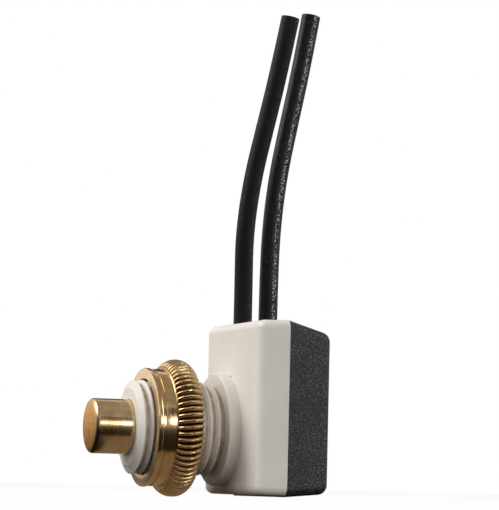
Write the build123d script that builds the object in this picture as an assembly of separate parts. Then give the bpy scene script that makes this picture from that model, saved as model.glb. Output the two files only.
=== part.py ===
from build123d import *
from math import cos, degrees, radians, sin, tan
import os

# Pushbutton canopy switch. Millimetres, +Z up, bushing axis along -Y.
# The origin is on the bushing axis, in the plane where the seat ring meets the panel.

# Bushing
thread_major_r = 5.15   # 13/32 in outside
thread_pitch = 0.94     # 27 turns to the inch
thread_depth = 0.52
crest_flat = 0.12
flank_deg = 30
first_crest = 0.79      # seat face to the middle of the first crest
bushing_length = 9.7
nose_bevel_width = 0.9   # radial
nose_bevel_length = 0.42
bushing_wall = 0.78     # thread root to the plunger's bore
lip_wall = 1.2          # front lip that keeps the plunger in
seat_ledge = 1.05       # seat ring past the thread
seat_length = 1.3
seat_round = 0.15       # rounding of the ring's front edge
step_back = 1.6         # seat face to the step that carries the return spring

# Body, seen from the front
left_margin = 0.35      # seat ring to the left wall's outer face
bottom_margin = 0.95    # seat ring to the bottom
body_right = 11.75      # bushing axis to the right wall
body_top = 11.75        # bushing axis to the top
housing_depth = 3.45    # front face to the parting line
draft_deg = 1.2         # draft of the housing's outer walls, narrower at the front
cover_depth = 4.8       # parting line to the back
cover_drop = 0.12       # cover's bottom below the housing's
wall = 1.1
edge_r = 0.9            # rounding of the body's outer edges
back_r = 1.1            # rounding of the cover's top and bottom back edges
top_slope_deg = 16.5    # fall of the cover's top towards the back
bottom_slope_deg = 5    # rise of the cover's bottom towards the back
lip_height = 0.9        # tongue of the cover that enters the housing
lip_thick = 0.55
lip_gap = 0.05          # clearance round the tongue

# Knurled nut
nut_front_y = -8.05
nut_length = 4.95
nut_clearance = 0.06
collar_wall = 1.35      # thread to the outside of the collar
collar_lip = 0.55
collar_round = 0.2
groove_depth = 0.2
groove_width = 0.3
band_drop = 0.08        # band below the collar's lip
rim_edge_height = 0.35  # side of the rim above the collar
rim_height = 1.05       # crown of the rim above the collar
rim_length = 2.84
tooth_count = 66
tooth_depth = 0.32
tooth_gap = 0.5         # width of a groove at the crown
tooth_slant_deg = 6
tooth_reach_deg = 70    # how far a groove runs down each side of the crown
tooth_over = 0.15       # how far the groove's form stands above the crown

# Plunger
foot_lip = 0.6          # foot of the cap past its outside
bore_gap = 0.25         # foot to the bore
button_reach = 4.7      # nose to the end of the cap
dome_height = 0.3
dome_edge_r = 0.58
cap_wall = 0.4
foot_thick = 0.45
stroke = 2.8
slide_gap = 0.06        # radial clearance of what slides or turns
seat_gap = 0.02         # gap between faces that meet across a joint, and round what is pressed in
stem_foot_thick = 0.8
tail_inset = 0.7        # stem's tail inside the cap's outside
drive_play = 0.1        # gap between stem and rotor at full press
drive_teeth = 4
drive_tooth_height = 0.7
drive_tooth_width = 1.0

# Springs
return_wire_r = 0.2
return_turns = 5
spring_room = 0.45      # step past the stem's tail
contact_wire_r = 0.15
contact_turns = 5
contact_coil_r = 1.8

# Rotor and contacts
hub_inset = 0.2         # hub inside the stem's tail
bearing_reach = 0.7     # rotor's bearing in front of the housing's face
rotor_play = 0.05       # gap between the hub and the bearing's shoulder
flange_past = 0.1       # flange past the plate's hub
flange_thick = 1.1
key_width = 0.8
key_height = 0.6
key_gap = 0.03
key_web = 0.4           # plate outside the keys
plate_thick = 0.3
plate_past = 0.9        # plate past the middle of the contact points
plate_wing = 2.6
post_r = 0.8
post_entry = 1.6        # length of the post inside the rotor
post_end_gap = 0.2
washer_r = 2.8
washer_thick = 0.2
terminal_thick = 0.4
terminal_width = 2.2
terminal_tail = 1.3     # strip below the contact point
contact_past = 1.6      # hub to the middle of a contact point
contact_head_r = 0.8
contact_head_height = 0.35
contact_shank_r = 0.4
crimp_length = 2.6
crimp_thick = 0.3
crimp_room = 0.15       # clearance beside the crimp
crimp_room_below = 0.3
rail_height = 0.35
rail_thick = 0.3
rail_length = 1.4
rail_gap = 0.3          # clearance from the turning plate

# Leads
lead_r = 1.0
core_r = 0.5
lead_offset = 4.25      # distance of each lead from the bushing axis
lead_gap = 0.05         # clearance in the wall
core_gap = 0.02         # clearance between conductor, insulation and crimp
lead_entry = 1.1        # insulation inside the top wall
lead_end_gap = 0.1      # below the insulation's end
arc_share = 0.45        # part of the shorter run that an arc takes up

# Corners of each lead's route: how far inwards, back and up from where it leaves the top
left_steps = [(0, 0, 4.05), (0.13, -0.09, 10.55), (0.25, 0.7, 16.85),
              (0.4, 1.95, 22.45), (0.6, 3.4, 28.95), (0.85, 4.6, 35.45)]
right_steps = [(0, 0, 3.85), (0.11, 0.18, 10.15), (0.25, 0.87, 16.15),
               (0.41, 2.03, 21.85), (0.61, 3.43, 28.25), (0.86, 4.6, 34.55)]

# Working margins of the forms that are joined and cut
join_over = 0.1         # how far joined forms run into each other
cut_over = 1.0          # how far a cutting form runs past what it cuts
pick_gap = 0.01         # margin when edges are chosen by place

# Radii that follow from the sizes above
thread_root_r = thread_major_r - thread_depth
seat_r = thread_major_r + seat_ledge
nut_bore_r = thread_major_r + nut_clearance
collar_r = thread_major_r + collar_wall
groove_r = collar_r - groove_depth
band_r = collar_r - band_drop
rim_edge_r = collar_r + rim_edge_height
rim_r = collar_r + rim_height
bore_r = thread_root_r - bushing_wall
foot_r = bore_r - bore_gap
button_r = foot_r - foot_lip
stem_tail_r = button_r - tail_inset
step_r = stem_tail_r + spring_room
hub_r = stem_tail_r - hub_inset
drive_bore_r = hub_r - drive_tooth_width
plate_hub_r = hub_r + key_height + key_web
flange_r = plate_hub_r + flange_past
crimp_r = core_r + core_gap + crimp_thick

# Places that follow from the sizes above
body_left = seat_r + left_margin
body_bottom = seat_r + bottom_margin
face_y = seat_length
seam_y = face_y + housing_depth
back_y = seam_y + cover_depth
cover_wall = wall + lip_gap + lip_thick
inner_face_y = face_y + wall
inner_back_y = back_y - cover_wall
nose_y = -bushing_length
tip_y = nose_y - button_reach
step_y = -step_back
nut_back_y = nut_front_y + nut_length
foot_front_y = nose_y + lip_wall + seat_gap
foot_back_y = foot_front_y + foot_thick
stem_foot_back_y = foot_back_y + stem_foot_thick
terminal_back_y = inner_face_y + terminal_thick
plate_front_y = terminal_back_y + contact_head_height + seat_gap
plate_back_y = plate_front_y + plate_thick
flange_back_y = plate_back_y + flange_thick
hub_seat_y = face_y - bearing_reach
rotor_front_y = hub_seat_y + rotor_play
stem_tail_y = rotor_front_y - stroke - drive_play
washer_y = flange_back_y + seat_gap
contact_x = hub_r + contact_past
plate_r = contact_x + plate_past
terminal_x = (contact_x + lead_offset) / 2
rail_z = plate_r + rail_gap
crimp_top_z = body_top - wall - lead_entry
crimp_bottom_z = crimp_top_z - crimp_length


def turned(points):
    """Solid turned about the bushing axis from (radius, y) points."""
    with BuildPart() as part:
        with BuildSketch(Plane.XY):
            with BuildLine():
                Polyline(*points, close=True)
            make_face()
        revolve(axis=Axis.Y)
    return part.part


def rod(radius, y_from, y_to, x=0, z=0):
    """Round bar along Y."""
    plane = Plane(origin=(x, y_from, z), x_dir=(1, 0, 0), z_dir=(0, 1, 0))
    return extrude(plane * Circle(radius), amount=y_to - y_from)


def post_up(radius, x, y, z_from, z_to):
    """Round bar along Z."""
    return Pos(x, y, z_from) * extrude(Circle(radius), amount=z_to - z_from)


def block(x_from, x_to, y_from, y_to, z_from, z_to):
    """Plain block between two corners."""
    middle = ((x_from + x_to) / 2, (y_from + y_to) / 2, (z_from + z_to) / 2)
    return Pos(*middle) * Box(x_to - x_from, y_to - y_from, z_to - z_from)


def body_block(y_from, y_to, inset):
    """Upright block with the body's outline, drawn in by an inset."""
    return block(-body_left + inset, body_right - inset, y_from, y_to,
                 -body_bottom + inset, body_top - inset)


def drafted_block():
    """Housing's outer form, full size at the parting line and narrower at the front."""
    middle = ((body_right - body_left) / 2, seam_y, (body_top - body_bottom) / 2)
    plane = Plane(origin=middle, x_dir=(1, 0, 0), z_dir=(0, -1, 0))
    outline = plane * Rectangle(body_right + body_left, body_top + body_bottom)
    return extrude(outline, amount=housing_depth, taper=draft_deg)


def lead_hole(side):
    """Round passage of one lead through the top wall."""
    return post_up(lead_r + lead_gap, side * lead_offset, seam_y, crimp_top_z - lead_end_gap,
                   body_top + cut_over)


def crimp_pocket(side):
    """Room for one crimp beside the tongue and the cover's wall."""
    half = lead_r + crimp_room
    middle = side * lead_offset
    return block(middle - half, middle + half, seam_y - lip_height - join_over, seam_y + half,
                 crimp_bottom_z - crimp_room_below, body_top - wall)


def thread_profile():
    """Half section of the bushing's thread, as rings of the true pitch."""
    half_base = crest_flat / 2 + thread_depth * tan(radians(flank_deg))
    points = [(0, face_y), (thread_root_r, face_y)]
    for turn in range(int((bushing_length - first_crest) / thread_pitch) + 1):
        crest_y = -first_crest - turn * thread_pitch
        points.append((thread_root_r, crest_y + half_base))
        points.append((thread_major_r, crest_y + crest_flat / 2))
        points.append((thread_major_r, crest_y - crest_flat / 2))
        points.append((thread_root_r, crest_y - half_base))
    points += [(thread_root_r, nose_y - thread_pitch), (0, nose_y - thread_pitch)]
    return points


def seat_ring():
    """Smooth ring between the body's face and the panel, with a rounded front edge."""
    ring = rod(seat_r, 0, face_y + join_over)
    return fillet(ring.edges().filter_by(GeomType.CIRCLE).sort_by(Axis.Y)[0], seat_round)


def nose_envelope():
    """Form that cuts the thread off with a shallow bevel round the nose."""
    over = thread_pitch
    outer_r = thread_major_r + over * nose_bevel_width / nose_bevel_length
    return turned([(0, face_y), (outer_r, face_y), (outer_r, nose_y + nose_bevel_length + over),
                   (thread_major_r - nose_bevel_width, nose_y), (0, nose_y)])


def bushing_bore():
    """Stepped bore: lip, plunger bore, spring step and the rotor's bearing."""
    lip_r = button_r + slide_gap
    hub_bore_r = hub_r + slide_gap
    return turned([(0, nose_y - cut_over), (lip_r, nose_y - cut_over), (lip_r, nose_y + lip_wall),
                   (bore_r, nose_y + lip_wall), (bore_r, step_y), (step_r, step_y),
                   (step_r, hub_seat_y), (hub_bore_r, hub_seat_y),
                   (hub_bore_r, inner_face_y + join_over), (0, inner_face_y + join_over)])


def terminal_rails():
    """Low ribs that hold the terminal strips sideways, above the plate's reach."""
    rails = []
    for side in (-1, 1):
        for edge in (-1, 1):
            near = side * terminal_x + edge * (terminal_width / 2 + key_gap)
            far = near + edge * rail_thick
            rails.append(block(min(near, far), max(near, far), inner_face_y - join_over,
                               inner_face_y + rail_height, rail_z, rail_z + rail_length))
    return rails


def make_front_housing():
    outer = drafted_block()
    rounded = [edge for edge in outer.edges() if edge.center().Y < seam_y - pick_gap]
    housing = fillet(rounded, edge_r)
    housing += seat_ring()
    housing += turned(thread_profile()) & nose_envelope()
    housing -= body_block(inner_face_y, seam_y + cut_over, wall)
    housing -= bushing_bore()
    housing += terminal_rails()
    for side in (-1, 1):
        housing -= lead_hole(side)
    return housing


def cover_form(inset, y_from, corner_r):
    """Cover's form with its sloping top and bottom, drawn in by an inset."""
    back = back_y - inset
    fall = tan(radians(top_slope_deg))
    rise = tan(radians(bottom_slope_deg))
    bottom = -body_bottom - cover_drop + inset
    top = body_top - inset
    corners = [(y_from, bottom + (y_from - seam_y) * rise), (back, bottom + (back - seam_y) * rise),
               (back, top - (back - seam_y) * fall), (y_from, top - (y_from - seam_y) * fall)]
    side_plane = Plane(origin=(-body_left + inset, 0, 0), x_dir=(0, 1, 0), z_dir=(1, 0, 0))
    outline = make_face(Polyline(*corners, close=True))
    outline = fillet(outline.vertices().sort_by(Axis.X)[-2:], corner_r)
    return extrude(side_plane * outline, amount=body_left + body_right - 2 * inset)


def make_rear_cover():
    outer = cover_form(0, seam_y, back_r)
    side_edges = []
    for edge in outer.edges():
        middle = edge.center()
        on_side = abs(middle.X + body_left) < pick_gap or abs(middle.X - body_right) < pick_gap
        if on_side and middle.Y > seam_y + pick_gap:
            side_edges.append(edge)
    cover = fillet(side_edges, edge_r)
    cover += body_block(seam_y - lip_height, seam_y + join_over, wall + lip_gap)
    cover -= body_block(seam_y - lip_height - cut_over, seam_y + pick_gap, cover_wall)
    cover -= cover_form(cover_wall, seam_y, back_r / 2)
    for side in (-1, 1):
        cover -= crimp_pocket(side)
        cover -= lead_hole(side)
    cover += rod(post_r, flange_back_y - post_entry, inner_back_y + join_over)
    return cover


def crown_radius():
    """Radius of the rim's crown from its width and its height."""
    half = rim_length / 2
    height = rim_r - rim_edge_r
    return (half ** 2 + height ** 2) / (2 * height)


def nut_blank():
    """Turned nut before knurling: lip, groove, band and crowned rim."""
    rim_y = nut_back_y - rim_length
    lip_y = nut_front_y + collar_lip
    groove_y = lip_y + groove_width
    with BuildPart() as part:
        with BuildSketch(Plane.XY):
            with BuildLine():
                Polyline((nut_bore_r, nut_front_y), (collar_r - collar_round, nut_front_y))
                RadiusArc((collar_r - collar_round, nut_front_y), (collar_r, nut_front_y + collar_round),
                          -collar_round)
                Line((collar_r, nut_front_y + collar_round), (collar_r, lip_y - collar_round))
                RadiusArc((collar_r, lip_y - collar_round), (groove_r, lip_y), -collar_round)
                Polyline((groove_r, lip_y), (groove_r, groove_y), (band_r, groove_y), (band_r, rim_y),
                         (rim_edge_r, rim_y))
                ThreePointArc((rim_edge_r, rim_y), (rim_r, rim_y + rim_length / 2),
                              (rim_edge_r, nut_back_y))
                Polyline((rim_edge_r, nut_back_y), (nut_bore_r, nut_back_y), (nut_bore_r, nut_front_y))
            make_face()
        revolve(axis=Axis.Y)
    return part.part


def knurl_groove():
    """One V groove that follows the crown from side to side, slightly slanted."""
    crown_r = crown_radius()
    centre = (rim_r - crown_r, nut_back_y - rim_length / 2, 0)
    reach = radians(tooth_reach_deg)
    start_dir = Vector(cos(reach), -sin(reach), 0)
    plane = Plane(origin=centre, x_dir=start_dir, z_dir=start_dir.cross(Vector(0, 0, 1)))
    half = tooth_gap / 2 * (1 + tooth_over / tooth_depth)
    section = make_face(Polyline((crown_r - tooth_depth, 0), (crown_r + tooth_over, half),
                                 (crown_r + tooth_over, -half), close=True))
    turn_axis = Axis(centre, (0, 0, 1))
    groove = revolve(plane * section, axis=turn_axis, revolution_arc=2 * degrees(reach))
    return groove.rotate(Axis((0, centre[1], 0), (1, 0, 0)), tooth_slant_deg)


def make_knurled_nut():
    groove = knurl_groove()
    grooves = [groove.rotate(Axis.Y, 360 / tooth_count * i) for i in range(tooth_count)]
    return nut_blank() - grooves


def make_button_cap():
    """Drawn brass cap with a domed end and a turned-out foot."""
    edge_y = tip_y + dome_height
    flat_r = button_r - dome_edge_r
    dome_r = (flat_r ** 2 + dome_height ** 2) / (2 * dome_height)
    with BuildPart() as part:
        with BuildSketch(Plane.XY):
            with BuildLine():
                RadiusArc((0, tip_y), (flat_r, edge_y), -dome_r)
                RadiusArc((flat_r, edge_y), (button_r, edge_y + dome_edge_r), -dome_edge_r)
                Polyline((button_r, edge_y + dome_edge_r), (button_r, foot_back_y), (0, foot_back_y),
                         (0, tip_y))
            make_face()
        revolve(axis=Axis.Y)
    cap = part.part
    cap += rod(foot_r, foot_front_y, foot_back_y)
    return cap - rod(button_r - cap_wall, edge_y + cap_wall, foot_back_y + cut_over)


def ramp_cut(y_tip, height, outer_r, towards):
    """Ramps of a face ratchet, one sector each, cut from the tooth tips inwards."""
    sector = 360 / drive_teeth
    half = outer_r * sin(radians(sector / 2))
    reach = outer_r * 1.5
    plane = Plane(origin=(0, y_tip, 0), x_dir=(0, 0, -1), z_dir=(1, 0, 0))
    ramp = make_face(Polyline((-half, -towards * join_over), (half, -towards * join_over),
                              (half, towards * height), close=True))
    wedge = extrude(plane * ramp, amount=reach)
    corner = (reach * cos(radians(sector / 2)), reach * sin(radians(sector / 2)))
    pie_plane = Plane(origin=(0, y_tip - 2 * height, 0), x_dir=(1, 0, 0), z_dir=(0, 1, 0))
    pie = extrude(pie_plane * make_face(Polyline((0, 0), corner, (corner[0], -corner[1]), close=True)),
                  amount=4 * height)
    tool = wedge & pie
    return [tool.rotate(Axis.Y, sector * i) for i in range(drive_teeth)]


def make_plunger_stem():
    """Moulded stem: head inside the cap, foot behind it, toothed tail."""
    head_r = button_r - cap_wall - seat_gap
    stem = rod(head_r, tip_y + dome_height + cap_wall + seat_gap, foot_back_y + join_over)
    stem += rod(foot_r, foot_back_y, stem_foot_back_y)
    stem += rod(stem_tail_r, stem_foot_back_y - join_over, stem_tail_y)
    stem -= rod(drive_bore_r, stem_tail_y - 2 * drive_tooth_height, stem_tail_y + cut_over)
    return stem - ramp_cut(stem_tail_y, drive_tooth_height, stem_tail_r, -1)


def make_rotor():
    """Moulded rotor: toothed hub, two keys for the plate, flange and blind bearing bore."""
    rotor = rod(hub_r, rotor_front_y, plate_back_y + join_over)
    rotor += rod(flange_r, plate_back_y, flange_back_y)
    reach = hub_r + key_height
    rotor += block(-key_width / 2, key_width / 2, plate_front_y, plate_back_y + join_over, -reach, reach)
    rotor -= rod(drive_bore_r, rotor_front_y - cut_over, rotor_front_y + drive_tooth_height)
    rotor -= ramp_cut(rotor_front_y, drive_tooth_height, hub_r, 1)
    bore_front_y = flange_back_y - post_entry - post_end_gap
    return rotor - rod(post_r + slide_gap, bore_front_y, flange_back_y + cut_over)


def make_contact_plate():
    """Two-winged plate, pierced for the hub and its keys."""
    plate = rod(plate_hub_r, plate_front_y, plate_back_y)
    wings = block(-plate_r, plate_r, plate_front_y, plate_back_y, -plate_wing / 2, plate_wing / 2)
    plate += wings & rod(plate_r, plate_front_y, plate_back_y)
    plate -= rod(hub_r + key_gap, plate_front_y - cut_over, plate_back_y + cut_over)
    half = key_width / 2 + key_gap
    reach = hub_r + key_height + key_gap
    return plate - block(-half, half, plate_front_y - cut_over, plate_back_y + cut_over, -reach, reach)


def make_terminal(side):
    """Bronze strip with a crimp barrel round the bare conductor."""
    middle = side * terminal_x
    lead_x = side * lead_offset
    half = terminal_width / 2
    strip = block(middle - half, middle + half, inner_face_y, terminal_back_y, -terminal_tail, crimp_top_z)
    web = block(lead_x - crimp_thick / 2, lead_x + crimp_thick / 2, terminal_back_y - join_over, seam_y,
                crimp_bottom_z, crimp_top_z)
    barrel = post_up(crimp_r, lead_x, seam_y, crimp_bottom_z, crimp_top_z)
    terminal = strip + web + barrel
    terminal -= post_up(core_r + core_gap, lead_x, seam_y, crimp_bottom_z - cut_over,
                        crimp_top_z + cut_over)
    return terminal - rod(contact_shank_r, inner_face_y - cut_over, terminal_back_y + cut_over,
                          side * contact_x)


def make_contact_point(side):
    """Rivet contact with a slightly domed head."""
    head = rod(contact_head_r, terminal_back_y, terminal_back_y + contact_head_height, side * contact_x)
    head = chamfer(head.edges().filter_by(GeomType.CIRCLE).sort_by(Axis.Y)[-1], contact_head_height / 3)
    return head + rod(contact_shank_r - seat_gap, inner_face_y + seat_gap, terminal_back_y + join_over,
                      side * contact_x)


def coil(mean_r, wire_r, turns, y_from, y_to):
    """Helical spring between two faces."""
    height = y_to - y_from - 2 * wire_r
    path = Helix(height / turns, height, mean_r)
    section = Plane(origin=path @ 0, z_dir=path % 0) * Circle(wire_r)
    spring = sweep(section, path=path, is_frenet=True)
    return Pos(0, y_from + wire_r, 0) * (Rot(-90, 0, 0) * spring)


def make_return_spring():
    middle_r = (stem_tail_r + bore_r) / 2
    return coil(middle_r, return_wire_r, return_turns, stem_foot_back_y, step_y)


def make_contact_spring():
    return coil(contact_coil_r, contact_wire_r, contact_turns, washer_y + washer_thick, inner_back_y)


def make_thrust_washer():
    hole = rod(post_r + slide_gap, washer_y - cut_over, washer_y + cut_over)
    return rod(washer_r, washer_y, washer_y + washer_thick) - hole


def lead_path(side, steps):
    """Straight runs joined by tangent arcs, from the crimp to the free end."""
    points = [Vector(side * lead_offset, seam_y, crimp_top_z)]
    for inwards, back, up in steps:
        points.append(Vector(side * (lead_offset - inwards), seam_y + back, body_top + up))
    radii = []
    for before, corner, after in zip(points, points[1:], points[2:]):
        turn = (corner - before).get_angle(after - corner)
        run = min((corner - before).length, (after - corner).length)
        radii.append(arc_share * run / tan(radians(turn / 2)))
    return FilletPolyline(*points, radius=radii), radii


def make_lead(name, side, steps):
    """Insulation and conductor of one lead."""
    path, radii = lead_path(side, steps)
    start = Plane(origin=path @ 0, z_dir=path % 0)
    jacket = sweep(start * (Circle(lead_r) - Circle(core_r + core_gap)), path=path)
    core = sweep(start * Circle(core_r), path=path)
    core += post_up(core_r, side * lead_offset, seam_y, crimp_bottom_z, crimp_top_z + join_over)
    print(name, "length", round(path.length, 2), "radii", [round(r, 1) for r in radii])
    return jacket, core


pieces = {
    "front_housing": make_front_housing(),
    "rear_cover": make_rear_cover(),
    "knurled_nut": make_knurled_nut(),
    "button_cap": make_button_cap(),
    "plunger_stem": make_plunger_stem(),
    "return_spring": make_return_spring(),
    "ratchet_rotor": make_rotor(),
    "contact_plate": make_contact_plate(),
    "thrust_washer": make_thrust_washer(),
    "contact_spring": make_contact_spring(),
}
for name, side, steps in (("left", -1, left_steps), ("right", 1, right_steps)):
    pieces["terminal_" + name] = make_terminal(side)
    pieces["contact_point_" + name] = make_contact_point(side)
    jacket, core = make_lead("lead " + name, side, steps)
    pieces["lead_jacket_" + name] = jacket
    pieces["lead_core_" + name] = core

os.makedirs("parts", exist_ok=True)
for name, piece in pieces.items():
    export_step(piece, "parts/" + name + ".step")
    print(name, "volume", round(piece.volume, 3))
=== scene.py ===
import bpy
import math
from mathutils import Matrix, Vector


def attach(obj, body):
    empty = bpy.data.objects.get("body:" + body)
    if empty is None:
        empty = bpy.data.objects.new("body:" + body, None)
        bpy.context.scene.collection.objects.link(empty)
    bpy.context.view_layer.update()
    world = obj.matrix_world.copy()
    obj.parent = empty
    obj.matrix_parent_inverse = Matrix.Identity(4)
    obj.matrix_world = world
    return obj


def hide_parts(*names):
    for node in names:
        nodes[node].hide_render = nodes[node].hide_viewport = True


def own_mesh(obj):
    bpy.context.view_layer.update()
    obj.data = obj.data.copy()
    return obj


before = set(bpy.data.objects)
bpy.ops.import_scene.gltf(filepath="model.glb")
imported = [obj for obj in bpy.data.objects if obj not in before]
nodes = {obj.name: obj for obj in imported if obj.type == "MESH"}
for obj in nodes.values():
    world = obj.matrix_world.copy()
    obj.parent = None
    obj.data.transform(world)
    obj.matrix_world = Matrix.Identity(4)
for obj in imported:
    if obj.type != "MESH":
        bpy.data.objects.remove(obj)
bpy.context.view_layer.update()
mm = 0.001


def deselectAll():
    bpy.ops.object.select_all(action="DESELECT")
    bpy.context.view_layer.objects.active = None


def makeActive(piece):
    deselectAll()
    piece.select_set(True)
    bpy.context.view_layer.objects.active = piece


def enterEdit(piece, mode="VERT"):
    makeActive(piece)
    bpy.ops.object.mode_set(mode="EDIT")
    bpy.ops.mesh.select_mode(type=mode)
    bpy.ops.mesh.select_all(action="DESELECT")


def leaveEdit():
    bpy.ops.object.mode_set(mode="OBJECT")


def selectVerts(piece, test):
    bpy.ops.mesh.select_all(action="DESELECT")
    bpy.ops.object.mode_set(mode="OBJECT")
    for vert in piece.data.vertices:
        vert.select = test(vert.co)
    bpy.ops.object.mode_set(mode="EDIT")


def applyPlace(piece):
    makeActive(piece)
    bpy.ops.object.transform_apply(location=True, rotation=True, scale=True)


def groupSockets(group, inputs, outputs):
    for name, kind, value in inputs:
        socket = group.interface.new_socket(name=name, in_out="INPUT", socket_type=kind)
        if value is not None:
            socket.default_value = value
    for name, kind in outputs:
        group.interface.new_socket(name=name, in_out="OUTPUT", socket_type=kind)
    return group.nodes.new("NodeGroupInput"), group.nodes.new("NodeGroupOutput")


def mathNode(tree, operation, a, b=None, c=None):
    node = tree.nodes.new("ShaderNodeMath")
    node.operation = operation
    for slot, value in enumerate((a, b, c)):
        if value is None:
            continue
        if isinstance(value, (int, float)):
            node.inputs[slot].default_value = value
        else:
            tree.links.new(value, node.inputs[slot])
    return node.outputs[0]


def noiseNode(tree, vector, scale, detail, roughness=0.5):
    node = tree.nodes.new("ShaderNodeTexNoise")
    tree.links.new(vector, node.inputs["Vector"])
    for name, value in (("Scale", scale), ("Detail", detail), ("Roughness", roughness)):
        if isinstance(value, (int, float)):
            node.inputs[name].default_value = value
        else:
            tree.links.new(value, node.inputs[name])
    return node.outputs["Fac"]


def rampNode(tree, value, stops):
    node = tree.nodes.new("ShaderNodeValToRGB")
    tree.links.new(value, node.inputs[0])
    ramp = node.color_ramp
    while len(ramp.elements) < len(stops):
        ramp.elements.new(0.5)
    for element, (place, colour) in zip(ramp.elements, stops):
        element.position = place
        element.color = tuple(colour) + (1,)
    return node.outputs[0]


def rangeNode(tree, value, low, high, start=0.0, end=1.0):
    node = tree.nodes.new("ShaderNodeMapRange")
    node.interpolation_type = "SMOOTHSTEP"
    for name, number in (("From Min", low), ("From Max", high), ("To Min", start), ("To Max", end)):
        node.inputs[name].default_value = number
    tree.links.new(value, node.inputs["Value"])
    return node.outputs[0]


def mixColour(tree, factor, a, b):
    node = tree.nodes.new("ShaderNodeMix")
    node.data_type = "RGBA"
    for socket, value in ((node.inputs[0], factor), (node.inputs[6], a), (node.inputs[7], b)):
        if isinstance(value, (tuple, list)):
            socket.default_value = tuple(value) + (1,)
        else:
            tree.links.new(value, socket)
    return node.outputs[2]


def buildMouldGrain():
    group = bpy.data.node_groups.new("mouldGrain", "ShaderNodeTree")
    enter, leave = groupSockets(
        group,
        [("Vector", "NodeSocketVector", None), ("Grain", "NodeSocketFloat", 4000.0),
         ("Mottle", "NodeSocketFloat", 250.0)],
        [("Height", "NodeSocketFloat"), ("Mottle", "NodeSocketFloat")])
    fine = noiseNode(group, enter.outputs["Vector"], enter.outputs["Grain"], 3.0, 0.6)
    broad = noiseNode(group, enter.outputs["Vector"], enter.outputs["Mottle"], 4.0, 0.55)
    group.links.new(mathNode(group, "MULTIPLY_ADD", broad, 0.35, fine), leave.inputs["Height"])
    group.links.new(broad, leave.inputs["Mottle"])
    return group


def buildTurnedMarks():
    group = bpy.data.node_groups.new("turnedMarks", "ShaderNodeTree")
    enter, leave = groupSockets(
        group,
        [("Vector", "NodeSocketVector", None), ("Pitch", "NodeSocketFloat", 9000.0),
         ("Smudge", "NodeSocketFloat", 500.0)],
        [("Height", "NodeSocketFloat"), ("Smudge", "NodeSocketFloat")])
    split = group.nodes.new("ShaderNodeSeparateXYZ")
    group.links.new(enter.outputs["Vector"], split.inputs[0])
    squareX = mathNode(group, "MULTIPLY", split.outputs["X"], split.outputs["X"])
    squareZ = mathNode(group, "MULTIPLY_ADD", split.outputs["Z"], split.outputs["Z"], squareX)
    radius = mathNode(group, "SQRT", squareZ)
    joined = group.nodes.new("ShaderNodeCombineXYZ")
    group.links.new(radius, joined.inputs["X"])
    group.links.new(split.outputs["Y"], joined.inputs["Y"])
    group.links.new(mathNode(group, "MULTIPLY", split.outputs["Z"], 0.02), joined.inputs["Z"])
    rings = noiseNode(group, joined.outputs[0], enter.outputs["Pitch"], 4.0, 0.65)
    smudge = noiseNode(group, enter.outputs["Vector"], enter.outputs["Smudge"], 3.0, 0.5)
    group.links.new(rings, leave.inputs["Height"])
    group.links.new(smudge, leave.inputs["Smudge"])
    return group


mouldGrain = buildMouldGrain()
turnedMarks = buildTurnedMarks()
print("stage: node groups built")


def startMaterial(name):
    material = bpy.data.materials.new(name)
    material.use_nodes = True
    tree = material.node_tree
    shader = tree.nodes["Principled BSDF"]
    place = tree.nodes.new("ShaderNodeTexCoord").outputs["Object"]
    return material, tree, shader, place


def placeGroup(tree, group, place, **values):
    node = tree.nodes.new("ShaderNodeGroup")
    node.node_tree = group
    tree.links.new(place, node.inputs["Vector"])
    for name, value in values.items():
        node.inputs[name].default_value = value
    return node


def addBump(tree, shader, height, strength, distance):
    bump = tree.nodes.new("ShaderNodeBump")
    bump.inputs["Strength"].default_value = strength
    bump.inputs["Distance"].default_value = distance
    tree.links.new(height, bump.inputs["Height"])
    tree.links.new(bump.outputs[0], shader.inputs["Normal"])


def mouldedPlastic(name, settings):   # slight mottle, fine grain, soft sheen and, if asked, painted shade in the thread valleys
    material, tree, shader, place = startMaterial(name)
    grain = placeGroup(tree, mouldGrain, place, Grain=settings["grain"], Mottle=settings["mottle"])
    colour = rampNode(tree, grain.outputs["Mottle"],
                      [(0.3, settings["dark"]), (0.7, settings["light"])])
    if "valley" in settings:
        colour = soiledThread(tree, place, colour, settings)
    tree.links.new(colour, shader.inputs["Base Color"])
    low, high = settings["roughness"]
    spread = rampNode(tree, grain.outputs["Height"], [(0.3, (low,) * 3), (0.9, (high,) * 3)])
    tree.links.new(spread, shader.inputs["Roughness"])
    addBump(tree, shader, grain.outputs["Height"], settings["bump"], settings["bumpDepth"])
    shader.inputs["Subsurface Weight"].default_value = settings["subsurface"]
    shader.inputs["Subsurface Radius"].default_value = settings["scatter"]
    shader.inputs["Subsurface Scale"].default_value = mm
    return material


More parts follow.
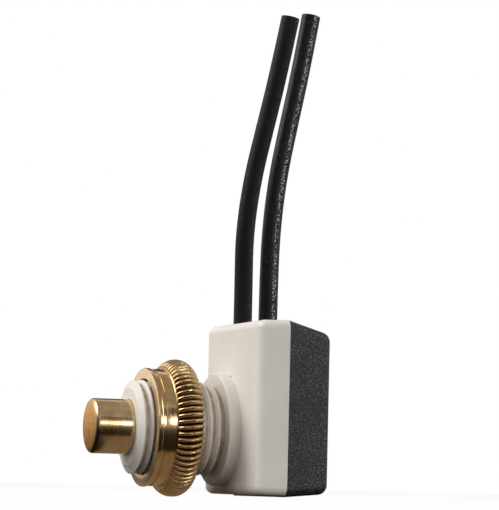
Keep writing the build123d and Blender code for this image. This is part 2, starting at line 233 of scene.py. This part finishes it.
def soiledThread(tree, place, colour, settings):   # painted shade: browner thread valleys; and one dark speck
    split = tree.nodes.new("ShaderNodeSeparateXYZ")
    tree.links.new(place, split.inputs[0])
    square = mathNode(tree, "MULTIPLY", split.outputs["X"], split.outputs["X"])
    total = mathNode(tree, "MULTIPLY_ADD", split.outputs["Z"], split.outputs["Z"], square)
    radius = mathNode(tree, "SQRT", total)
    shallow, deep = settings["valley"]
    low = rangeNode(tree, radius, deep * mm, shallow * mm, 1.0, 0.0)
    onThread = mathNode(tree, "LESS_THAN", split.outputs["Y"], settings["seatY"] * mm)
    behindNose = mathNode(tree, "GREATER_THAN", split.outputs["Y"], settings["noseY"] * mm)
    mask = mathNode(tree, "MULTIPLY", mathNode(tree, "MULTIPLY", low, onThread), behindNose)
    uneven = rangeNode(tree, noiseNode(tree, place, settings["soilGrain"], 3.0), 0.3, 0.7, 0.6, 1.0)
    # painted shade: the valley mask browns the thread's own colour
    soiled = mixColour(tree, mathNode(tree, "MULTIPLY", mask, uneven), colour, settings["soil"])
    away = tree.nodes.new("ShaderNodeVectorMath")
    away.operation = "DISTANCE"
    tree.links.new(place, away.inputs[0])
    away.inputs[1].default_value = tuple(c * mm for c in settings["speck"])
    inner, outer = settings["speckRadii"]
    dot = rangeNode(tree, away.outputs["Value"], inner * mm, outer * mm, 0.9, 0.0)
    return mixColour(tree, dot, soiled, settings["speckColour"])


def grainedBlack(name, settings):
    material, tree, shader, place = startMaterial(name)
    cells = tree.nodes.new("ShaderNodeTexVoronoi")
    cells.inputs["Scale"].default_value = settings["cell"]
    cells.feature = "F1"
    tree.links.new(place, cells.inputs["Vector"])
    fine = noiseNode(tree, place, settings["grain"], 4.0, 0.65)
    height = mathNode(tree, "MULTIPLY_ADD", cells.outputs["Distance"], -0.6, fine)
    flecks = rampNode(tree, fine, [(0.52, (0, 0, 0)), (0.64, (1, 1, 1))])
    broad = noiseNode(tree, place, settings["patches"], 3.0)
    patch = rampNode(tree, broad, [(0.35, (0.4,) * 3), (0.65, (1, 1, 1))])
    mask = mathNode(tree, "MULTIPLY", flecks, patch)
    colour = mixColour(tree, mask, settings["dark"], settings["fleck"])
    tree.links.new(colour, shader.inputs["Base Color"])
    low, high = settings["roughness"]
    spread = rampNode(tree, fine, [(0.3, (high,) * 3), (0.7, (low,) * 3)])
    tree.links.new(spread, shader.inputs["Roughness"])
    addBump(tree, shader, height, settings["bump"], settings["bumpDepth"])
    return material


def turnedBrass(name, settings):   # turning rings, smudges, a duller face up to a Y, knurl gaps darkened by tarnish and painted shade
    material, tree, shader, place = startMaterial(name)
    marks = placeGroup(tree, turnedMarks, place, Pitch=settings["pitch"], Smudge=settings["smudge"])
    colour = rampNode(tree, marks.outputs["Smudge"], [(0.35, settings["dark"]), (0.65, settings["light"])])
    split = tree.nodes.new("ShaderNodeSeparateXYZ")
    tree.links.new(place, split.inputs[0])
    first, last = settings["dullUpTo"]
    fade = tree.nodes.new("ShaderNodeMapRange")
    fade.inputs["From Min"].default_value = first * mm
    fade.inputs["From Max"].default_value = last * mm
    fade.inputs["To Min"].default_value = 1.0
    fade.inputs["To Max"].default_value = 0.0
    tree.links.new(split.outputs["Y"], fade.inputs["Value"])
    worn = rampNode(tree, noiseNode(tree, place, settings["wearGrain"], 4.0, 0.65),
                    [(0.36, settings["dull"]), (0.62, settings["dullLight"])])
    toned = mixColour(tree, fade.outputs[0], colour, worn)
    gap = tree.nodes.new("ShaderNodeAttribute")     # only the knurl carries this attribute
    gap.attribute_name = "gap"
    # knurl gaps darkened: partly tarnish, partly painted shade
    shaded = mixColour(tree, mathNode(tree, "MULTIPLY", gap.outputs["Fac"], settings["gapTarnishAndShade"]), toned,
                       settings["gapTarnishAndShadeColour"])
    tree.links.new(shaded, shader.inputs["Base Color"])
    shader.inputs["Metallic"].default_value = 1.0
    low, high = settings["roughness"]
    rough = rampNode(tree, marks.outputs["Height"], [(0.3, (low,) * 3), (0.75, (high,) * 3)])
    rough = mixColour(tree, fade.outputs[0], rough, (settings["dullRoughness"],) * 3)
    onKnurl = mathNode(tree, "GREATER_THAN", gap.outputs["Fac"], settings["gapLeast"])
    tree.links.new(mixColour(tree, onKnurl, rough, (settings["knurlRoughness"],) * 3),
                   shader.inputs["Roughness"])
    dentNoise = noiseNode(tree, place, settings["dentGrain"], 2.0)
    dents = mathNode(tree, "MULTIPLY", dentNoise, settings["knurlDents"])
    height = mathNode(tree, "MULTIPLY_ADD", dents, onKnurl, marks.outputs["Height"])
    addBump(tree, shader, height, settings["bump"], settings["bumpDepth"])
    return material


metalGrain = {"grain": 2500.0, "shade": 0.82, "spread": 1.6, "bump": 0.3, "bumpDepth": 0.00001}


def drawnMetal(name, colour, roughness):
    material, tree, shader, place = startMaterial(name)
    fine = noiseNode(tree, place, metalGrain["grain"], 4.0, 0.6)
    tone = mixColour(tree, fine, [c * metalGrain["shade"] for c in colour], colour)
    tree.links.new(tone, shader.inputs["Base Color"])
    shader.inputs["Metallic"].default_value = 1.0
    rougher = roughness * metalGrain["spread"]
    spread = rampNode(tree, fine, [(0.3, (roughness,) * 3), (0.8, (rougher,) * 3)])
    tree.links.new(spread, shader.inputs["Roughness"])
    addBump(tree, shader, fine, metalGrain["bump"], metalGrain["bumpDepth"])
    return material


def wireInsulation(name, settings):   # fine grain, flecks and a painted, dotted line of glints on one side
    material, tree, shader, place = startMaterial(name)
    stretch = tree.nodes.new("ShaderNodeMapping")
    stretch.inputs["Scale"].default_value = settings["stretch"]
    tree.links.new(place, stretch.inputs["Vector"])
    streaks = noiseNode(tree, stretch.outputs[0], 1.0, 4.0, 0.6)
    fine = noiseNode(tree, place, settings["grain"], 3.0, 0.6)
    flecks = rampNode(tree, fine, [(0.60, (0, 0, 0)), (0.72, (1, 1, 1))])
    broad = rangeNode(tree, noiseNode(tree, place, settings["patches"], 3.0), 0.42, 0.6, 0.15, 1.0)
    fleckShare = mathNode(tree, "MULTIPLY", flecks, broad)
    colour = mixColour(tree, fleckShare, settings["dark"], settings["fleck"])
    facing = tree.nodes.new("ShaderNodeVectorMath")
    facing.operation = "DOT_PRODUCT"
    tree.links.new(tree.nodes.new("ShaderNodeTexCoord").outputs["Normal"], facing.inputs[0])
    angle = math.radians(settings["glintAngle"])
    facing.inputs[1].default_value = (math.cos(angle), math.sin(angle), 0)
    line = rangeNode(tree, facing.outputs["Value"], *settings["glintEdges"])
    dots = rangeNode(tree, noiseNode(tree, place, settings["glintGrain"], 3.0, 0.75), 0.5, 0.66)
    glints = mathNode(tree, "MULTIPLY", mathNode(tree, "MULTIPLY", line, dots), settings["glintShare"])
    tree.links.new(mixColour(tree, glints, colour, settings["glint"]), shader.inputs["Base Color"])
    low, high = settings["roughness"]
    spread = rampNode(tree, streaks, [(0.35, (low,) * 3), (0.7, (high,) * 3)])
    tree.links.new(spread, shader.inputs["Roughness"])
    height = mathNode(tree, "MULTIPLY_ADD", fine, 0.5, streaks)
    addBump(tree, shader, height, settings["bump"], settings["bumpDepth"])
    shader.inputs["Specular IOR Level"].default_value = settings["gloss"]
    return material


ivory = mouldedPlastic("ivoryPlastic", {
    "dark": (0.755, 0.715, 0.655), "light": (0.815, 0.775, 0.715), "roughness": (0.45, 0.6),
    "grain": 5000.0, "mottle": 160.0, "bump": 0.25, "bumpDepth": 0.00002,
    "subsurface": 0.06, "scatter": (1.0, 0.8, 0.55),
    # the valley settings below paint shade into the thread valleys
    "valley": (4.86, 4.62), "seatY": -0.02, "noseY": -9.4, "soil": (0.37, 0.27, 0.17),
    "soilGrain": 900.0,
    "speck": (2.27, 1.27, 5.77), "speckRadii": (0.1, 0.2), "speckColour": (0.12, 0.10, 0.08)})
nylon = mouldedPlastic("naturalNylon", {
    "dark": (0.66, 0.65, 0.58), "light": (0.76, 0.75, 0.69), "roughness": (0.35, 0.5),
    "grain": 4000.0, "mottle": 220.0, "bump": 0.2, "bumpDepth": 0.00002,
    "subsurface": 0.15, "scatter": (1.0, 0.95, 0.8)})
blackCover = grainedBlack("grainedBlackPlastic", {
    "dark": (0.009, 0.009, 0.011), "fleck": (0.19, 0.195, 0.22), "roughness": (0.45, 0.62),
    "cell": 5200.0, "grain": 6200.0, "patches": 260.0, "bump": 1.0, "bumpDepth": 0.00004})
brassGrain = {"wearGrain": 1700.0, "dentGrain": 2400.0, "gapLeast": 0.005}
capBrass = turnedBrass("buttonBrass", {
    "dark": (0.58, 0.37, 0.18), "light": (0.78, 0.57, 0.35), "roughness": (0.18, 0.3),
    "dullUpTo": (-14.12, -13.98), "dull": (0.60, 0.31, 0.09), "dullLight": (0.72, 0.42, 0.16),
    "dullRoughness": 0.5,
    "gapTarnishAndShade": 0.0, "gapTarnishAndShadeColour": (0.1, 0.05, 0.02), "knurlRoughness": 0.3, "knurlDents": 0.0,
    "pitch": 9000.0, "smudge": 500.0, "bump": 0.5, "bumpDepth": 0.00001, **brassGrain})
nutBrass = turnedBrass("nutBrass", {
    "dark": (0.60, 0.385, 0.18), "light": (0.77, 0.555, 0.31), "roughness": (0.14, 0.26),
    "dullUpTo": (-8.04, -7.98), "dull": (0.87, 0.63, 0.37), "dullLight": (0.94, 0.78, 0.56),
    "dullRoughness": 0.24,
    # knurl gap darkening: tarnish and painted shade
    "gapTarnishAndShade": 0.95, "gapTarnishAndShadeColour": (0.06, 0.030, 0.011), "knurlRoughness": 0.26, "knurlDents": 32.0,
    "pitch": 8000.0, "smudge": 400.0, "bump": 0.2, "bumpDepth": 0.00001, **brassGrain})
springSteel = drawnMetal("springSteel", (0.56, 0.57, 0.59), 0.25)
contactBronze = drawnMetal("contactBronze", (0.72, 0.47, 0.29), 0.25)
silver = drawnMetal("silver", (0.86, 0.85, 0.83), 0.15)
copper = drawnMetal("copperStrands", (0.78, 0.40, 0.26), 0.25)
insulationLook = {
    "dark": (0.006, 0.006, 0.0065), "fleck": (0.09, 0.09, 0.10), "stretch": (3000, 3000, 120),
    "grain": 5200.0, "bump": 0.8, "bumpDepth": 0.00004, "patches": 350.0,
    "glint": (0.85, 0.85, 0.85), "glintGrain": 4800.0, "glintEdges": (0.962, 0.988)}
insulations = {
    "left": wireInsulation("dullInsulation", dict(
        insulationLook, roughness=(0.5, 0.66), gloss=0.2, fleck=(0.03, 0.03, 0.032),
        glintAngle=32, glintShare=0.12)),
    "right": wireInsulation("glossyInsulation", dict(
        insulationLook, roughness=(0.24, 0.42), gloss=0.15, glintAngle=17, glintShare=0.95)),
}
print("stage: materials built")

finishes = {
    "front_housing": ivory, "rear_cover": blackCover, "knurled_nut": nutBrass, "button_cap": capBrass,
    "plunger_stem": nylon, "return_spring": springSteel, "ratchet_rotor": nylon,
    "contact_plate": contactBronze, "thrust_washer": springSteel, "contact_spring": springSteel,
    "terminal_left": contactBronze, "terminal_right": contactBronze,
    "contact_point_left": silver, "contact_point_right": silver,
    "lead_jacket_left": insulations["left"], "lead_jacket_right": insulations["right"],
    "lead_core_left": copper, "lead_core_right": copper,
}
for nodeName, finish in finishes.items():
    mesh = nodes[nodeName].data
    mesh.materials.clear()
    mesh.materials.append(finish)


nut = {
    "boreRadius": 5.21, "frontY": -8.05, "backY": -3.1, "edge": 0.15,
    "collarRadius": 6.5, "lipLength": 0.55, "lipRound": 0.16, "roundShare": 0.3,
    "grooveRadius": 6.3, "grooveWidth": 0.3, "bandRadius": 6.42, "crease": 0.02, "creaseRun": 0.08,
    "rimEdgeRadius": 6.85, "rimRadius": 7.55, "rimLength": 2.84, "rimRows": 11,
    "ridges": 66, "stepsPerRidge": 10, "ridgeDepth": 0.46, "slantDegrees": 6.0,
    "ridgesFrom": 6.8, "slantFrom": 6.4,   # radii past which the rim is ridged and its rows are turned
    "gapFloor": 0.01, "gapFall": 1.1,      # how dark tarnish and painted shade make the gaps between the ridges
}


def nutOutline():   # points (radius, y) in mm round the nut's half section, front bore edge first
    front, back, edge, roll = nut["frontY"], nut["backY"], nut["edge"], nut["lipRound"]
    collar, groove, band = nut["collarRadius"], nut["grooveRadius"], nut["bandRadius"]
    lip = front + nut["lipLength"]
    rim = back - nut["rimLength"]
    corner, crease, run = roll * nut["roundShare"], nut["crease"], nut["creaseRun"]
    points = [(nut["boreRadius"], front + edge), (nut["boreRadius"] + edge, front),
              (collar - roll, front), (collar - corner, front + corner), (collar, front + roll),
              (collar, lip - roll), (collar - corner, lip - corner), (groove, lip),
              (groove, lip + nut["grooveWidth"]), (band - crease, lip + nut["grooveWidth"] + crease),
              (band, lip + nut["grooveWidth"] + run), (band, rim - run), (band + 0.05, rim - 0.01)]
    half = nut["rimLength"] / 2
    rise = nut["rimRadius"] - nut["rimEdgeRadius"]
    crown = (half ** 2 + rise ** 2) / (2 * rise)
    reach = math.asin(half / crown)
    for row in range(nut["rimRows"]):
        angle = -reach + 2 * reach * row / (nut["rimRows"] - 1)
        points.append((nut["rimRadius"] - crown + crown * math.cos(angle),
                       back - half + crown * math.sin(angle)))
    points += [(nut["boreRadius"] + edge, back), (nut["boreRadius"], back - edge)]
    return points


def turnOutline(name, outline, steps):   # half section drawn by extruding, then spun about the axis
    deselectAll()
    bpy.ops.mesh.primitive_plane_add(size=0.1 * mm, location=(outline[0][0] * mm, outline[0][1] * mm, 0))
    piece = bpy.context.active_object
    piece.name = name
    applyPlace(piece)
    enterEdit(piece)
    bpy.ops.mesh.select_all(action="SELECT")
    bpy.ops.mesh.merge(type="CENTER")
    for before, after in zip(outline, outline[1:] + outline[:1]):
        step = ((after[0] - before[0]) * mm, (after[1] - before[1]) * mm, 0)
        bpy.ops.mesh.extrude_region_move(TRANSFORM_OT_translate={"value": step})
    bpy.ops.mesh.select_all(action="SELECT")
    bpy.ops.mesh.remove_doubles(threshold=0.001 * mm)
    bpy.ops.mesh.select_all(action="SELECT")
    bpy.ops.mesh.spin(steps=steps, angle=2 * math.pi, center=(0, 0, 0), axis=(0, 1, 0), dupli=False)
    bpy.ops.mesh.select_all(action="SELECT")
    bpy.ops.mesh.remove_doubles(threshold=0.002 * mm)
    bpy.ops.mesh.normals_make_consistent(inside=False)
    leaveEdit()
    return piece


def makeNut():
    steps = nut["ridges"] * nut["stepsPerRidge"]
    piece = turnOutline("nut", nutOutline(), steps)
    enterEdit(piece)
    shapeRidges(piece, steps)
    leaveEdit()
    bpy.ops.object.shade_smooth_by_angle(angle=math.radians(35))
    return piece


def shapeRidges(piece, steps):
    rimY = nut["backY"] - nut["rimLength"]
    onRim = lambda place: place.y > (rimY - 0.001) * mm \
        and math.hypot(place.x, place.z) > nut["ridgesFrom"] * mm
    turnOf = lambda place: math.atan2(place.z, place.x) / (2 * math.pi)
    phaseOf = lambda place: round(turnOf(place) * steps) % nut["stepsPerRidge"]
    half = nut["stepsPerRidge"] // 2
    leaveEdit()
    gap = piece.data.attributes.new("gap", "FLOAT", "POINT")
    for vert in piece.data.vertices:
        if onRim(vert.co):
            depth = 1 - abs(math.cos(math.pi * phaseOf(vert.co) / nut["stepsPerRidge"]))
            gap.data[vert.index].value = nut["gapFloor"] + (1 - nut["gapFloor"]) * depth ** nut["gapFall"]
    enterEdit(piece)
    for phase in range(1, half + 1):     # gaps between the ridges are drawn in towards the axis
        drop = nut["ridgeDepth"] * (1 - math.cos(math.pi * phase / nut["stepsPerRidge"]))
        pair = (phase, nut["stepsPerRidge"] - phase)
        selectVerts(piece, lambda place: onRim(place) and phaseOf(place) in pair)
        factor = (nut["rimRadius"] - drop) / nut["rimRadius"]
        bpy.ops.transform.resize(value=(factor, 1, factor), center_override=(0, 0, 0))
    middle = nut["backY"] - nut["rimLength"] / 2
    rows = sorted({round(y, 4) for r, y in nutOutline() if r > nut["ridgesFrom"]})
    for y in rows:                       # rows are turned a little, so that the ridges slant
        turn = math.tan(math.radians(nut["slantDegrees"])) * (y - middle) / nut["rimRadius"]
        selectVerts(piece, lambda place: abs(place.y - y * mm) < 0.003 * mm
                    and math.hypot(place.x, place.z) > nut["slantFrom"] * mm)
        bpy.ops.transform.rotate(value=turn, orient_axis="Y", center_override=(0, 0, 0))


cap = {
    "tipY": -14.4, "footY": -8.03, "footLength": 0.45, "radius": 3.0, "footRadius": 3.6,
    "wall": 0.4, "roof": 0.4, "domeHeight": 0.3, "edgeRadius": 0.58,
    "edgeSteps": 7, "domeSteps": 6, "aroundSteps": 128,
}


def capOutline():   # points (radius, y) in mm from the middle of the domed end round to the inside
    tip, foot, radius, edge = cap["tipY"], cap["footY"], cap["radius"], cap["edgeRadius"]
    flat = radius - edge
    dome = (flat ** 2 + cap["domeHeight"] ** 2) / (2 * cap["domeHeight"])
    points = []
    for step in range(cap["domeSteps"]):
        across = flat * step / cap["domeSteps"]
        points.append((across, tip + dome - math.sqrt(dome ** 2 - across ** 2)))
    tilt = math.asin(flat / dome)     # the rounded edge starts in line with the dome
    drop = edge * (1 - math.sin(tilt))
    reach = edge / math.cos(tilt) * (1 - math.sin(tilt))
    for step in range(cap["edgeSteps"] + 1):
        angle = tilt + (math.pi / 2 - tilt) * step / cap["edgeSteps"]
        points.append((radius - edge + edge * (math.sin(angle) - math.sin(tilt)) / (1 - math.sin(tilt)),
                       tip + cap["domeHeight"] + reach * (math.cos(tilt) - math.cos(angle))))
    inner = radius - cap["wall"]
    roofY = tip + cap["domeHeight"] + drop + cap["roof"]
    points += [(radius, foot - cap["footLength"]), (cap["footRadius"], foot - cap["footLength"]),
               (cap["footRadius"], foot), (inner, foot), (inner, roofY), (0, roofY)]
    return points


capPiece = turnOutline("cap", capOutline(), cap["aroundSteps"])
makeActive(capPiece)
bpy.ops.object.shade_smooth_by_angle(angle=math.radians(40))
capPiece.data.materials.append(capBrass)
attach(capPiece, "button")
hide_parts("button_cap")
print("stage: button cap made")

nutPiece = makeNut()
nutPiece.data.materials.append(nutBrass)
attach(nutPiece, "nut")
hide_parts("knurled_nut")
print("stage: nut made")


spring = {
    "wireRadius": 0.2, "coilRadius": 3.075, "turns": 5, "frontY": -7.23, "backY": -1.6,
    "stepsPerTurn": 40, "wireSides": 12, "travel": 2.8,
}


def makeSpring():   # a circle screwed along the axis
    deselectAll()
    bpy.ops.mesh.primitive_circle_add(
        vertices=spring["wireSides"], radius=spring["wireRadius"] * mm,
        location=(spring["coilRadius"] * mm, (spring["frontY"] + spring["wireRadius"]) * mm, 0))
    piece = bpy.context.active_object
    piece.name = "spring"
    applyPlace(piece)
    screw = piece.modifiers.new("coils", "SCREW")
    screw.axis = "Y"
    screw.steps = screw.render_steps = spring["stepsPerTurn"]
    screw.iterations = spring["turns"]
    length = spring["backY"] - spring["frontY"] - 2 * spring["wireRadius"]
    screw.screw_offset = length / spring["turns"] * mm
    bpy.ops.object.modifier_apply(modifier="coils")
    enterEdit(piece)
    bpy.ops.mesh.select_all(action="SELECT")
    bpy.ops.mesh.fill_holes(sides=0)
    bpy.ops.mesh.select_all(action="SELECT")
    bpy.ops.mesh.normals_make_consistent(inside=False)
    leaveEdit()
    bpy.ops.object.shade_smooth_by_angle(angle=math.radians(50))
    return piece


springPiece = makeSpring()
springPiece.data.materials.append(springSteel)
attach(springPiece, "housing")
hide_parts("return_spring")
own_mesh(springPiece)
print("stage: spring made")


leads = {
    "diameter": 2.0 * mm,
    "seenDiameter": 2.08 * mm,     # a little swell of the soft insulation
    "routes": {
        "left": [(-4.25, 4.75, 9.55), (-4.25, 4.75, 15.8), (-4.12, 4.66, 22.3), (-4.0, 5.45, 28.6),
                 (-3.85, 6.7, 34.2), (-3.65, 8.15, 40.7), (-3.4, 9.35, 47.2)],
        "right": [(4.25, 4.75, 9.55), (4.25, 4.75, 15.6), (4.14, 4.93, 21.9), (4.0, 5.62, 27.9),
                  (3.84, 6.78, 33.6), (3.64, 8.18, 40.0), (3.39, 9.35, 46.3)],
    },
    "lengths": {"left": 0.0381, "right": 0.0372},
}


def routeCurve(name, points, radius):
    data = bpy.data.curves.new(name, "CURVE")
    data.dimensions = "3D"
    data.resolution_u = 12
    spline = data.splines.new("NURBS")
    spline.points.add(len(points) - 1)
    for point, place in zip(spline.points, points):
        point.co = (place[0] * mm, place[1] * mm, place[2] * mm, 1)
    spline.order_u = 3
    spline.use_endpoint_u = True
    data.bevel_depth = radius
    data.bevel_resolution = 6
    data.use_fill_caps = True
    curve = bpy.data.objects.new(name, data)
    bpy.context.scene.collection.objects.link(curve)
    return curve


for side, route in leads["routes"].items():
    jacket = routeCurve("jacket_" + side, route, leads["seenDiameter"] / 2)
    jacket.data.materials.append(insulations[side])
    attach(jacket, "housing")
    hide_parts("lead_jacket_" + side)
print("stage: leads made")


studio = {
    "floorZ": -7.56 * mm,
    "floorSize": 6.0,
    "floorSeen": (0.95, 0.95, 0.95),
    "floorTone": (0.05, 0.04, 0.03),     # what the floor throws back on the object
    "floorWhite": 0.93,                  # share of plain white that camera and shiny metal see
    "ambient": 0.37,                     # world strength for diffuse rays
    "ambientColour": (1.0, 0.985, 0.965),
    "keyPlace": (-0.14, -0.34, 0.33),
    "keySize": 0.32,
    "keyPower": 1.88,
    "keyColour": (1.0, 0.985, 0.96),
    "fillPlace": (0.50, 0.02, 0.14),     # lights the side walls, unseen in the metal
    "fillSize": 0.34,
    "fillPower": 0.56,
    "fillColour": (0.94, 0.98, 1.0),
    "frontPlace": (0.08, -0.55, 0.05),   # weak light from the front, unseen in the metal
    "frontSize": 0.34,
    "frontPower": 0.78,
    "stripPlace": (0.44, 0.147, 0.10),   # narrow window that the turned metal mirrors
    "stripSize": (0.24, 0.085),
    "stripPower": 0.42,
    "rearPlace": (0.30, 0.39, 0.22),     # tall window behind, mirrored by the leads
    "rearSize": (0.035, 0.4),
    "rearPower": 0.5,
}
# Cards that only shiny surfaces see: middle, size along X, Y and Z, and colour
cards = {
    "sideCard": ((0.62, 0.40, 0.20), (0, 0.8, 0.62), (0.012, 0.012, 0.012)),
    "sideFrontCard": ((0.62, -0.35, 0.20), (0, 0.7, 0.62), (0.55, 0.49, 0.40)),
    "slantCard": ((0.42, 0.05, 0.56), (0.4, 1.2, 0), (0.34, 0.31, 0.28)),
    "ceilingCard": ((-0.10, 0.05, 0.56), (0.64, 1.2, 0), (0.40, 0.37, 0.34)),
    "frontCard": ((0.16, -0.60, 0.20), (1.0, 0, 0.62), (0.08, 0.07, 0.06)),
    "leftCard": ((-0.60, -0.47, 0.24), (0, 0.86, 0.6), (0.88, 0.81, 0.72)),
    "backCard": ((-0.60, 0.48, 0.24), (0, 1.04, 0.6), (0.05, 0.045, 0.04)),
    "tableCard": ((0.31, 0.294, -0.00746), (0.6, 0.612, 0), (0.026, 0.021, 0.015)),
    "underCard": ((-0.145, 0.294, -0.00746), (0.31, 0.612, 0), (0.25, 0.20, 0.15)),
    "frontTableCard": ((0.15, -0.3120, -0.00746), (0.32, 0.6, 0), (0.01, 0.008, 0.006)),
    "frontLeftTableCard": ((-0.305, -0.3120, -0.00746), (0.59, 0.6, 0), (0.12, 0.095, 0.07)),
}


def areaLight(name, place, size, power, colour=(1, 1, 1)):   # aimed at the origin
    data = bpy.data.lights.new(name, "AREA")
    data.energy = power
    data.color = colour
    if isinstance(size, tuple):
        data.shape = "RECTANGLE"
        data.size, data.size_y = size
    else:
        data.shape = "SQUARE"
        data.size = size
    light = bpy.data.objects.new(name, data)
    light.location = place
    light.rotation_euler = (Vector() - Vector(place)).to_track_quat("-Z", "Y").to_euler()
    bpy.context.scene.collection.objects.link(light)
    return light


areaLight("keyLight", studio["keyPlace"], studio["keySize"], studio["keyPower"], studio["keyColour"])
fill = areaLight("fillLight", studio["fillPlace"], studio["fillSize"], studio["fillPower"],
                 studio["fillColour"])
fill.visible_glossy = False
front = areaLight("frontLight", studio["frontPlace"], studio["frontSize"], studio["frontPower"])
front.visible_glossy = False
areaLight("stripLight", studio["stripPlace"], studio["stripSize"], studio["stripPower"])
rear = areaLight("rearLight", studio["rearPlace"], studio["rearSize"], studio["rearPower"])
rear.visible_diffuse = False


def seenShare(tree, share):   # share of plain white that camera, glossy and transmission rays see
    rays = tree.nodes.new("ShaderNodeLightPath")
    seen = mathNode(tree, "MAXIMUM", rays.outputs["Is Camera Ray"], rays.outputs["Is Glossy Ray"])
    seen = mathNode(tree, "MAXIMUM", seen, rays.outputs["Is Transmission Ray"])
    return mathNode(tree, "MULTIPLY", seen, share)


def glowMaterial(name, colour):
    material = bpy.data.materials.new(name)
    material.use_nodes = True
    tree = material.node_tree
    tree.nodes.clear()
    glow = tree.nodes.new("ShaderNodeEmission")
    glow.inputs["Color"].default_value = colour + (1,)
    tree.links.new(glow.outputs[0], tree.nodes.new("ShaderNodeOutputMaterial").inputs["Surface"])
    return material


def addCard(name, place, size, colour):
    deselectAll()
    bpy.ops.mesh.primitive_plane_add(size=1, location=(0, 0, 0))
    card = bpy.context.active_object
    card.name = name
    if size[0] == 0:
        card.rotation_euler = (0, math.pi / 2, 0)
        card.scale = (size[2], size[1], 1)
    elif size[1] == 0:
        card.rotation_euler = (math.pi / 2, 0, 0)
        card.scale = (size[0], size[2], 1)
    else:
        card.scale = (size[0], size[1], 1)
    card.location = place
    card.data.materials.append(glowMaterial(name + "Glow", colour))
    card.visible_camera = False
    card.visible_diffuse = False
    card.visible_transmission = False
    card.visible_shadow = False
    card.visible_volume_scatter = False


for cardName, (place, size, colour) in cards.items():
    addCard(cardName, place, size, colour)

deselectAll()
bpy.ops.mesh.primitive_plane_add(size=studio["floorSize"], location=(0, 0, studio["floorZ"]))
floor = bpy.context.active_object
floor.name = "floor"
floorMaterial = bpy.data.materials.new("paleFloor")
floorMaterial.use_nodes = True
tree = floorMaterial.node_tree
tree.nodes.clear()
diffuse = tree.nodes.new("ShaderNodeBsdfDiffuse")
floorRays = tree.nodes.new("ShaderNodeLightPath")
floorColour = mixColour(tree, floorRays.outputs["Is Camera Ray"], studio["floorTone"], studio["floorSeen"])
tree.links.new(floorColour, diffuse.inputs["Color"])
plainWhite = tree.nodes.new("ShaderNodeEmission")
plainWhite.inputs["Color"].default_value = (1, 1, 1, 1)
blend = tree.nodes.new("ShaderNodeMixShader")
tree.links.new(seenShare(tree, studio["floorWhite"]), blend.inputs[0])
tree.links.new(diffuse.outputs[0], blend.inputs[1])
tree.links.new(plainWhite.outputs[0], blend.inputs[2])
tree.links.new(blend.outputs[0], tree.nodes.new("ShaderNodeOutputMaterial").inputs["Surface"])
floor.data.materials.append(floorMaterial)

world = bpy.context.scene.world or bpy.data.worlds.new("studio")
bpy.context.scene.world = world
world.use_nodes = True
tree = world.node_tree
tree.nodes.clear()
soft = tree.nodes.new("ShaderNodeBackground")
soft.inputs["Color"].default_value = studio["ambientColour"] + (1,)
soft.inputs["Strength"].default_value = studio["ambient"]
white = tree.nodes.new("ShaderNodeBackground")
white.inputs["Color"].default_value = (1, 1, 1, 1)
white.inputs["Strength"].default_value = 1.0
blend = tree.nodes.new("ShaderNodeMixShader")
tree.links.new(seenShare(tree, 1.0), blend.inputs[0])
tree.links.new(soft.outputs[0], blend.inputs[1])
tree.links.new(white.outputs[0], blend.inputs[2])
tree.links.new(blend.outputs[0], tree.nodes.new("ShaderNodeOutputWorld").inputs["Surface"])

view = {
    "azimuth": 71.486,
    "elevation": -1.159,
    "roll": 1.383,           # tops of verticals lean to the right in the picture
    "distance": 310.344 * mm,
    "aimPoint": (0, 1.3 * mm, 0),
    "aimPixel": (223.021, 429.595),
    "focalPixels": 2800.0,
    "pictureSize": (499, 510),
}


def makeCamera():
    azimuth = math.radians(view["azimuth"])
    elevation = math.radians(view["elevation"])
    forward = Vector((-math.sin(azimuth) * math.cos(elevation), math.cos(azimuth) * math.cos(elevation),
                      -math.sin(elevation)))
    across = Vector((math.cos(azimuth), math.sin(azimuth), 0))
    upward = across.cross(forward)
    roll = math.radians(view["roll"])
    right = across * math.cos(roll) + upward * math.sin(roll)
    top = upward * math.cos(roll) - across * math.sin(roll)
    facing = Matrix((right, top, -forward)).transposed().to_quaternion()
    width, height = view["pictureSize"]
    offset = Vector(((view["aimPixel"][0] - width / 2) / view["focalPixels"],
                     (height / 2 - view["aimPixel"][1]) / view["focalPixels"], -1))
    turn = offset.rotation_difference(Vector((0, 0, -1)))
    data = bpy.data.cameras.new("camera")
    data.sensor_width = 36
    data.lens = view["focalPixels"] / max(width, height) * data.sensor_width
    data.clip_start = 0.01
    data.clip_end = 20
    camera = bpy.data.objects.new("camera", data)
    camera.rotation_mode = "QUATERNION"
    camera.location = Vector(view["aimPoint"]) - forward * view["distance"]
    camera.rotation_quaternion = facing @ turn
    bpy.context.scene.collection.objects.link(camera)
    bpy.context.scene.camera = camera


makeCamera()
bpy.context.scene.view_settings.view_transform = "Standard"
print("stage: studio ready")

bpy.context.view_layer.update()
